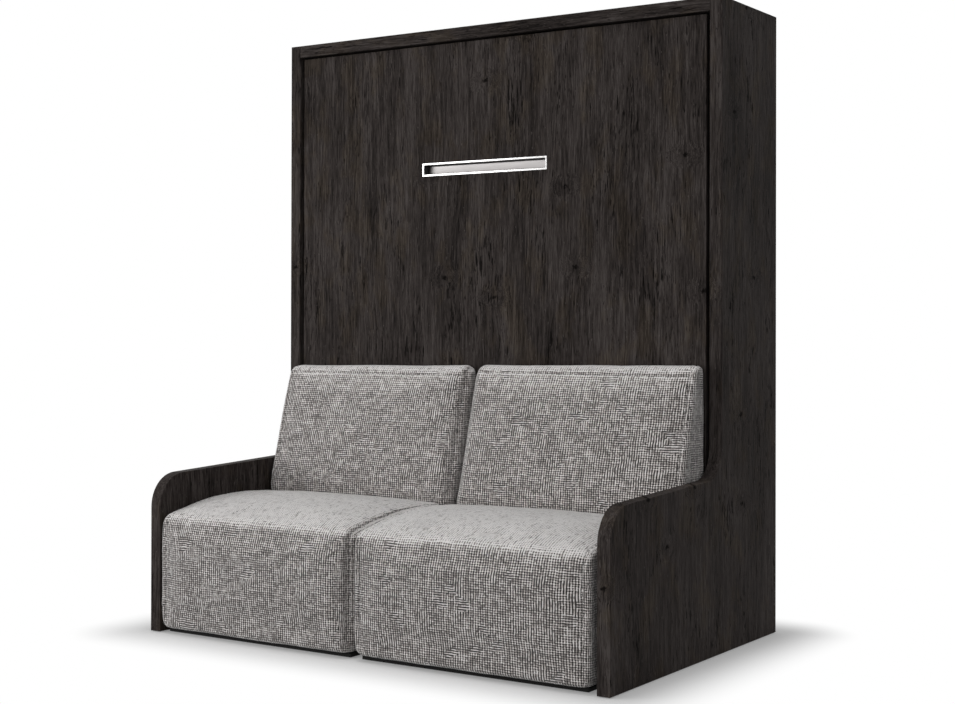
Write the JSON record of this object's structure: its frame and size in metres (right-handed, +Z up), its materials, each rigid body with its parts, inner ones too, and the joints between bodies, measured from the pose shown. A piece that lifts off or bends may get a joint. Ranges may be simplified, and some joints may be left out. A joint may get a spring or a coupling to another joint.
{
  "type": "wall bed with sofa",
  "caption": "Upright cabinet bed that folds down on side pivots over a sofa: curved arms, block seats, wedge back cushions, recessed pull, folding legs.",
  "frame": {"origin": "on the floor, in the middle of the footprint", "axes": "+X to the right seen from the front, +Y from the sofa's front to the wall, +Z up"},
  "size_m": [1.846, 1.22, 2.18],
  "materials": {
    "charcoal_oak": "dark stained oak grain, matt",
    "carcass_board": "dark faced board",
    "base_board": "black stained plywood",
    "frame_timber": "planed beech",
    "slat_wood": "laminated birch slats",
    "mattress_cloth": "quilted knit",
    "webbing": "woven elastic",
    "grey_tweed": "heathered basket weave",
    "fastening_tape": "hook and loop tape",
    "black_steel": "satin black powder coat",
    "bright_steel": "zinc plated",
    "cylinder_paint": "gloss black",
    "polished_steel": "polished",
    "brushed_steel": "brushed along its length",
    "track_aluminium": "mill finish",
    "dark_nylon": "moulded",
    "buffer_rubber": "moulded rubber"
  },
  "bodies": {
    "cabinet": {"side_panel_left": "charcoal_oak", "side_panel_right": "charcoal_oak", "top_panel": "charcoal_oak", "panel_glides": "dark_nylon", "wall_rail": "carcass_board", "middle_rail": "carcass_board", "lower_rail": "carcass_board", "back_panel_lower": "carcass_board", "back_panel_upper": "carcass_board", "plinth_rail": "carcass_board", "bottom_board": "carcass_board", "hinge_plate_left": "black_steel", "hinge_plate_right": "black_steel", "pivot_pin_left": "bright_steel", "pivot_pin_right": "bright_steel", "cabinet_spring_stud_left": "bright_steel", "cabinet_spring_stud_right": "bright_steel", "hinge_plate_screws": "bright_steel", "stop_blocks": "carcass_board", "stop_buffers": "buffer_rubber", "guide_track": "track_aluminium"},
    "bed": {"door_panel": "charcoal_oak", "pull_frame": "polished_steel", "pull_tray": "brushed_steel", "side_rail_left": "frame_timber", "side_rail_right": "frame_timber", "head_rail": "frame_timber", "foot_rail": "frame_timber", "centre_beam": "frame_timber", "slat_ledges": "frame_timber", "slats": "slat_wood", "door_brackets": "black_steel", "mattress": "mattress_cloth", "mattress_straps": "webbing", "bed_plate_left": "black_steel", "bed_plate_right": "black_steel", "pivot_bush_left": "dark_nylon", "pivot_bush_right": "dark_nylon", "leg_pins": "bright_steel", "back_cushion_left": "grey_tweed", "back_cushion_right": "grey_tweed", "cushion_strips": "fastening_tape"},
    "leg_left": {"leg_left": "black_steel", "leg_bush_left": "dark_nylon", "leg_foot_left": "buffer_rubber"},
    "spring_cylinder_left": {"gas_cylinder_left": "cylinder_paint"},
    "spring_rod_left": {"gas_rod_left": "bright_steel"},
    "leg_right": {"leg_right": "black_steel", "leg_bush_right": "dark_nylon", "leg_foot_right": "buffer_rubber"},
    "spring_cylinder_right": {"gas_cylinder_right": "cylinder_paint"},
    "spring_rod_right": {"gas_rod_right": "bright_steel"},
    "seat_unit": {"seat_block_left": "grey_tweed", "seat_block_right": "grey_tweed", "seat_base_left": "base_board", "seat_base_right": "base_board", "seat_glides": "dark_nylon", "seat_tie_board": "base_board", "guide_shoe": "dark_nylon"}
  },
  "joints": [
    {"name": "bed_lower", "type": "hinge", "parent": "cabinet", "child": "bed", "pos_m": [0, 0.215, 0.545], "axis": [1, 0, 0], "range_deg": [0, 90]},
    {"name": "leg_left_fold", "type": "hinge", "parent": "bed", "child": "leg_left", "pos_m": [-0.8705, 0.201, 2.06], "axis": [1, 0, 0], "range_deg": [-91, 1]},
    {"name": "spring_left_swing", "type": "hinge", "parent": "cabinet", "child": "spring_cylinder_left", "pos_m": [-0.856, 0.545, 0.7], "axis": [1, 0, 0], "range_deg": [-4, 0.1]},
    {"name": "spring_left_slide", "type": "slide", "parent": "spring_cylinder_left", "child": "spring_rod_left", "axis": [0, -0.7913, -0.6114], "range_m": [-0.14, 0.0005]},
    {"name": "leg_right_fold", "type": "hinge", "parent": "bed", "child": "leg_right", "pos_m": [0.8705, 0.201, 2.06], "axis": [1, 0, 0], "range_deg": [-91, 1]},
    {"name": "spring_right_swing", "type": "hinge", "parent": "cabinet", "child": "spring_cylinder_right", "pos_m": [0.856, 0.545, 0.7], "axis": [1, 0, 0], "range_deg": [-4, 0.1]},
    {"name": "spring_right_slide", "type": "slide", "parent": "spring_cylinder_right", "child": "spring_rod_right", "axis": [0, -0.7913, -0.6114], "range_m": [-0.14, 0.0005]},
    {"name": "seat_slide", "type": "slide", "parent": "cabinet", "child": "seat_unit", "axis": [0, -1, 0], "range_m": [0, 0.1801]}
  ],
  "couplings": [
    {"joint": "leg_left_fold", "follows": "bed_lower", "ratio": -1},
    {"joint": "spring_left_swing", "follows": "bed_lower", "ratio": -0.041308},
    {"joint": "spring_left_slide", "follows": "bed_lower", "m_per_rad": -0.088929},
    {"joint": "leg_right_fold", "follows": "bed_lower", "ratio": -1},
    {"joint": "spring_right_swing", "follows": "bed_lower", "ratio": -0.041308},
    {"joint": "spring_right_slide", "follows": "bed_lower", "m_per_rad": -0.088929},
    {"joint": "seat_slide", "follows": "bed_lower", "m_per_rad": 0.11459}
  ]
}
